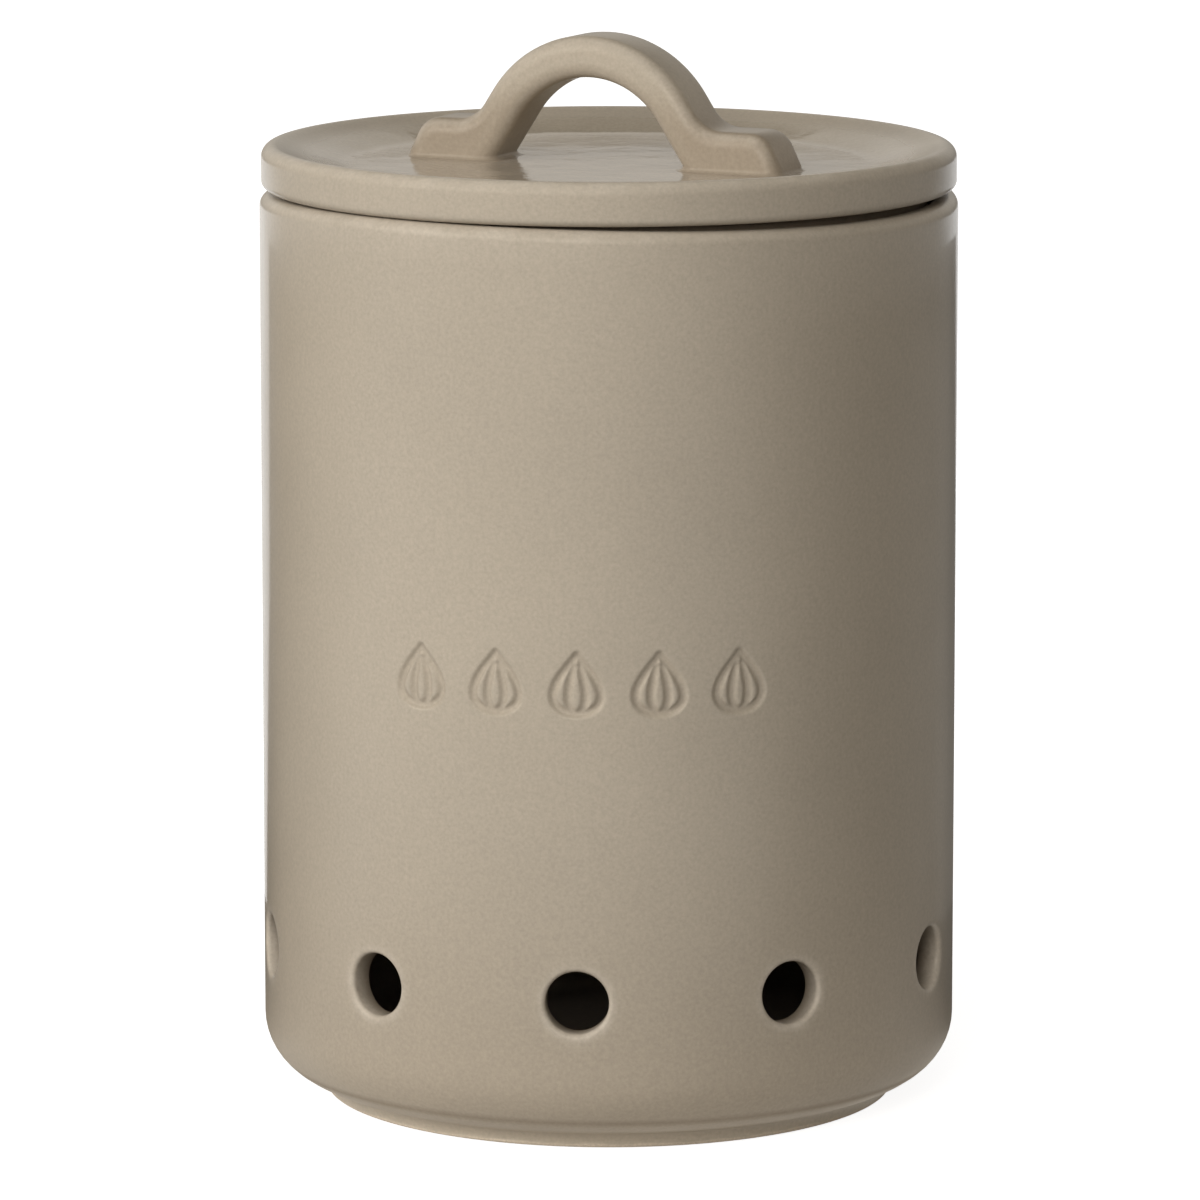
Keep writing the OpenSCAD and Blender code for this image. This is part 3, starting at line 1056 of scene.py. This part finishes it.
def pooled_glaze(finishes):
    """The lid's glaze: satin on the edge, and a glossy, rippled pool in the dish."""
    material, tree, shader, place, glaze, bump = glazed_material("Pooled glaze", finishes)
    edge = eased(tree, away_from_axis(tree, place), POOL_EDGE, 0, 1)
    pool = spread(tree, glaze.outputs["Dullness"], 0, 1, *POOL_GLOSS)
    satin = spread(tree, glaze.outputs["Dullness"], 0, 1, *EDGE_GLOSS)
    coat = sums(tree, "MULTIPLY", edge, EDGE_COAT)
    set_gloss(tree, shader, mixed(tree, edge, pool, satin, "FLOAT"), coat)
    wave = grain(tree, place, WAVE_SCALE, roughness=0.55)
    waves = sums(tree, "MULTIPLY", wave, spread(tree, edge, 0, 1, POOL_WAVES, EDGE_WAVES))
    feed(tree, sums(tree, "ADD", glaze.outputs["Tooth"], waves), bump.inputs["Height"])
    return material


def wiped_foot(finishes):
    """The foot ring: glazed down its side and wiped bare where it stands."""
    material, tree, shader, place, glaze, _ = glazed_material("Wiped foot", finishes)
    ragged = wander(tree, place, RAGGED_SCALE, -RAGGED, RAGGED)
    height = sums(tree, "ADD", height_of(tree, place), ragged)
    glazed = eased(tree, height, BARE_RISE, 0, 1)
    grit = wander(tree, place, GRIT_SCALE, *GRIT_TONES, roughness=0.7)
    clay = toned(tree, finishes.bare_clay, grit)
    feed(tree, mixed(tree, glazed, clay, glaze.outputs["Colour"]), shader.inputs["Base Color"])
    rough = spread(tree, glazed, 0, 1, CLAY_ROUGHNESS, FOOT_ROUGHNESS)
    feed(tree, rough, shader.inputs["Roughness"])
    return material


# The stage

CLOTH_TINT = (1, 0.94, 0.85, 1)
AMBIENT_TINT = (1, 0.95, 0.86)
# What the floor throws back beside the foot and further out, and the distances between which it changes
FLOOR_NEAR = (0.8, 0.78, 0.75)
FLOOR_FAR = (0.16, 0.157, 0.154)
FLOOR_CHANGE = (78 * MM, 120 * MM)
# What is seen of the floor: its grey in the lamps' light, and a glow that is dimmer beside the foot
FLOOR_GREY = (0.5, 0.5, 0.5, 1)
GLOW_NEAR = 0.88
GLOW_FAR = 1.0
GLOW_CHANGE = (120 * MM, 450 * MM)
# Shares of the backdrop's height between which it grows pale
BACKDROP_RISE = (-0.1, 0.55)
# Multiples of its first turn between which a flag grows pale and dark again, and how pale it is at first
FLAG_GROWS = (1.2, 1.8)
FLAG_FADES = (1.9, 2.9)
FLAG_FIRST = 0.25
# Share of its lean that a flag still has at half its height
LEFT_BOW = 0.2
RIGHT_BOW = 0.5
# Where the mat starts, as a share of the foot ring's radius, and the degrees from straight behind between
# which it grows dark and pale again
MAT_START = 0.7
MAT_DARKENS = (0, 15)
MAT_PALES = (60, 95)


def empty_material(name):
    """A material whose surface is still to be joined, with its nodes and that socket."""
    material = bpy.data.materials.new(name)
    material.use_nodes = True
    tree = material.node_tree
    tree.nodes.remove(tree.nodes["Principled BSDF"])
    return material, tree, tree.nodes["Material Output"].inputs["Surface"]


def seen_rays(tree):
    """1 for the rays that show the background: those of the camera, of gloss and of glass."""
    path = add_node(tree, "ShaderNodeLightPath")
    gloss = sums(tree, "MAXIMUM", path.outputs["Is Glossy Ray"], path.outputs["Is Transmission Ray"])
    return sums(tree, "MAXIMUM", path.outputs["Is Camera Ray"], gloss)


def pale_floor():
    """White to the eye, with the object's shadow on it, and grey to the light that it throws back."""
    material, tree, surface = empty_material("Pale floor")
    away = away_from_axis(tree, add_node(tree, "ShaderNodeTexCoord").outputs["Object"])
    plain = add_node(tree, "ShaderNodeBsdfDiffuse")
    nearby = eased(tree, away, FLOOR_CHANGE, 1, 0)
    feed(tree, mixed(tree, nearby, FLOOR_FAR, FLOOR_NEAR), plain.inputs["Color"])
    white = add_node(tree, "ShaderNodeBsdfDiffuse", Color=FLOOR_GREY)
    lift = add_node(tree, "ShaderNodeEmission")
    feed(tree, eased(tree, away, GLOW_CHANGE, GLOW_NEAR, GLOW_FAR), lift.inputs["Strength"])
    seen = add_node(tree, "ShaderNodeAddShader")
    feed(tree, white.outputs[0], seen.inputs[0])
    feed(tree, lift.outputs[0], seen.inputs[1])
    mix = add_node(tree, "ShaderNodeMixShader")
    for socket, source in zip(mix.inputs, (seen_rays(tree), plain.outputs[0], seen.outputs[0])):
        feed(tree, source, socket)
    feed(tree, mix.outputs[0], surface)
    return material


def white_world(ambient):
    """White where it is seen, and a dimmer light from all round."""
    world = bpy.data.worlds.new("Studio")
    world.use_nodes = True
    tree = world.node_tree
    background = tree.nodes["Background"]
    seen = seen_rays(tree)
    feed(tree, mixed(tree, seen, AMBIENT_TINT, (1, 1, 1)), background.inputs["Color"])
    feed(tree, spread(tree, seen, 0, 1, ambient, 1), background.inputs["Strength"])
    bpy.context.scene.world = world


def glow_cloth(name, level):
    """Cloth of an even brightness, whatever the lamps do."""
    cloth, tree, surface = empty_material(name)
    glow = add_node(tree, "ShaderNodeEmission", Color=CLOTH_TINT, Strength=level)
    feed(tree, glow.outputs[0], surface)
    return cloth


def shaded_cloth(name):
    """Cloth that is as bright as its mesh is marked."""
    cloth = glow_cloth(name, 1)
    tree = cloth.node_tree
    feed(tree, marked(tree, GLOW_LAYER), tree.nodes["Emission"].inputs["Strength"])
    return cloth


def hang(bm, name, turn, *cloths):
    """Puts up a piece of studio cloth that only gloss shows."""
    turn_verts(bm, bm.verts, turn)
    piece = new_piece(bm, name, *cloths)
    piece.visible_camera = False
    piece.visible_diffuse = False
    piece.visible_shadow = False
    piece.visible_transmission = False


def dark_tent(stage):
    """A dark tent round the set, with a backdrop behind the object that is paler higher up."""
    bm = bmesh.new()
    bmesh.ops.create_uvsphere(bm, u_segments=90, v_segments=60, radius=stage.tent_radius)
    for face in bm.faces:
        place = face.calc_center_median()
        aside = math.atan2(place.x, place.y)
        rise = math.asin(place.z / place.length)
        face.material_index = int(abs(aside) < stage.backdrop_half and rise < stage.backdrop_top)
    glow = bm.verts.layers.float.new(GLOW_LAYER)
    for vert in bm.verts:
        rise = math.asin(vert.co.z / vert.co.length)
        pale = smooth_step(*BACKDROP_RISE, rise / stage.backdrop_top)
        vert[glow] = stage.backdrop_low + (stage.backdrop_high - stage.backdrop_low) * pale
    cloths = glow_cloth("Tent cloth", stage.tent_level), shaded_cloth("Backdrop cloth")
    hang(bm, "tent", stage.camera_turn, *cloths)


def dark_flags(stage):
    """Two dark screens beside the object that keep the white floor out of the gloss on its sides."""
    cloth = shaded_cloth("Flag cloth")
    heights = (0, stage.flag_height / 2, stage.flag_height)
    left = (stage.flag_left, stage.flag_left_end, stage.flag_left_lean, LEFT_BOW, 0)
    right = (stage.flag_right, stage.flag_right_end, stage.flag_right_lean, RIGHT_BOW, stage.flag_pale)
    for name, side, (start, end, lean, bow, pale) in (("left_flag", 1, left), ("right_flag", -1, right)):
        bm = bmesh.new()
        back = [bm.verts.new((0, stage.flag_radius, height)) for height in heights]
        for vert, share in zip(back, (1, bow, 0)):
            turn_verts(bm, [vert], side * (start - share * lean))
        edges = [bm.edges.new(pair) for pair in zip(back, back[1:])]
        bmesh.ops.spin(
            bm, geom=back + edges, cent=(0, 0, 0), axis=(0, 0, 1), dvec=(0, 0, 0),
            angle=side * (end - start), steps=48,
        )
        glow = bm.verts.layers.float.new(GLOW_LAYER)
        for vert in bm.verts:
            off = abs(math.atan2(vert.co.x, vert.co.y))
            grown = FLAG_FIRST + (1 - FLAG_FIRST) * smooth_step(*FLAG_GROWS, off / start)
            level = stage.tent_level + pale * grown * (1 - smooth_step(*FLAG_FADES, off / start))
            front = smooth_step(end - stage.flag_fade, end, off)
            vert[glow] = level + (stage.flag_white - level) * front
        hang(bm, name, stage.camera_turn, cloth)


def dark_mat(stage):
    """A mat round the object's foot that dims the floor in the gloss, most of all behind its sides."""
    bm = lathe([(MAT_START * FOOT_HIGH.x, 0), (stage.flag_radius, 0)], steps=96)
    glow = bm.verts.layers.float.new(GLOW_LAYER)
    for vert in bm.verts:
        off = abs(math.degrees(math.atan2(vert.co.x, vert.co.y)))
        dark = smooth_step(*MAT_DARKENS, off) * (1 - smooth_step(*MAT_PALES, off))
        vert[glow] = stage.mat_level * (1 - stage.mat_dark * dark)
    hang(bm, "mat", stage.camera_turn, shaded_cloth("Mat cloth"))


def soft_lamp(name, power, size, place, facing):
    """A square area lamp that isn't seen itself, not even in the gloss."""
    data = bpy.data.lights.new(name, "AREA")
    data.size = size
    data.energy = power
    lamp = bpy.data.objects.new(name, data)
    lamp.location = place
    lamp.rotation_euler = facing.to_euler()
    lamp.visible_camera = False
    lamp.visible_glossy = False
    bpy.context.scene.collection.objects.link(lamp)


def lamp_card(name, cloth, size, place, facing):
    """The soft square that the gloss shows in a lamp's place."""
    bm = bmesh.new()
    bmesh.ops.create_grid(bm, x_segments=1, y_segments=1, size=size / 2)
    bmesh.ops.rotate(bm, cent=(0, 0, 0), matrix=facing.to_matrix(), verts=bm.verts)
    bmesh.ops.translate(bm, verts=bm.verts, vec=place)
    hang(bm, name, 0, cloth)


def hang_lamps(stage):
    """Two soft lamps that face the object's middle, each with its card."""
    middle = Vector((0, 0, CAD_BOX[1].z / 2))
    cloth = glow_cloth("Lamp card", stage.card_level)
    level = stage.lamp_away * math.cos(stage.lamp_rise)
    up = stage.lamp_away * math.sin(stage.lamp_rise)
    for name, power, aside in (
        ("key", stage.key_power, stage.key_turn),
        ("side", stage.side_power, stage.side_turn),
    ):
        turn = stage.camera_turn + aside
        place = middle + Vector((level * math.sin(turn), -level * math.cos(turn), up))
        facing = (middle - place).to_track_quat("-Z", "Y")
        soft_lamp(name, power, stage.lamp_size, place, facing)
        lamp_card(name + "_card", cloth, stage.card_size, place, facing)


def place_camera(stage):
    data = bpy.data.cameras.new("camera")
    data.lens = stage.camera_lens
    data.clip_end = 100
    camera = bpy.data.objects.new("camera", data)
    turn = Matrix.Rotation(stage.camera_turn, 3, "Z")
    camera.location = turn @ Vector((stage.camera_side, -stage.camera_away, stage.camera_height))
    camera.rotation_euler = (math.pi / 2 - stage.camera_tilt, 0, stage.camera_turn)
    bpy.context.scene.collection.objects.link(camera)
    bpy.context.scene.camera = camera


class OBJECT_OT_keeper_stage(bpy.types.Operator):
    """Set up the floor, the cloths, the lamps and the camera"""
    bl_idname = "object.keeper_stage"
    bl_label = "Stage"

    def execute(self, context):
        stage = context.scene.onion_keeper.stage
        bm = bmesh.new()
        bmesh.ops.create_circle(bm, cap_ends=True, segments=96, radius=stage.floor_radius)
        bmesh.ops.translate(bm, verts=bm.verts, vec=(0, 0, -stage.floor_drop))
        floor = new_piece(bm, "floor", pale_floor())
        white_world(stage.ambient)
        dark_tent(stage)
        dark_flags(stage)
        dark_mat(stage)
        hang_lamps(stage)
        place_camera(stage)
        context.scene.view_settings.view_transform = "Standard"
        return {"FINISHED"}


class VIEW3D_PT_onion_keeper(bpy.types.Panel):
    """Lists the pieces of the onion keeper and their sizes"""
    bl_label = "Onion Keeper"
    bl_idname = "VIEW3D_PT_onion_keeper"
    bl_space_type = "VIEW_3D"
    bl_region_type = "UI"
    bl_category = "Onion Keeper"

    def draw(self, context):
        keeper = context.scene.onion_keeper
        for operator in OPERATORS:
            self.layout.operator(operator.bl_idname)
        for group in KeeperSettings.__annotations__:
            box = self.layout.box()
            box.label(text=group.capitalize())
            sizes = getattr(keeper, group)
            for size in type(sizes).__annotations__:
                box.prop(sizes, size)


OPERATORS = (
    OBJECT_OT_keeper_jar,
    OBJECT_OT_keeper_foot,
    OBJECT_OT_keeper_lid,
    OBJECT_OT_keeper_locating_ring,
    OBJECT_OT_keeper_handle,
    OBJECT_OT_keeper_stage,
)
SETTINGS = (
    JarSizes, VentSizes, BandSizes, FootSizes, LidSizes, HandleSizes, Finishes, StageSettings,
    KeeperSettings,
)
CLASSES = SETTINGS + OPERATORS + (VIEW3D_PT_onion_keeper,)


def register():
    for cls in CLASSES:
        bpy.utils.register_class(cls)
    bpy.types.Scene.onion_keeper = bpy.props.PointerProperty(type=KeeperSettings)


def unregister():
    del bpy.types.Scene.onion_keeper
    for cls in reversed(CLASSES):
        bpy.utils.unregister_class(cls)


def main():
    register()
    bpy.ops.object.keeper_jar()
    bpy.ops.object.keeper_foot()
    bpy.ops.object.keeper_lid()
    bpy.ops.object.keeper_locating_ring()
    bpy.ops.object.keeper_handle()
    bpy.ops.object.keeper_stage()


if __name__ == "__main__":
    main()
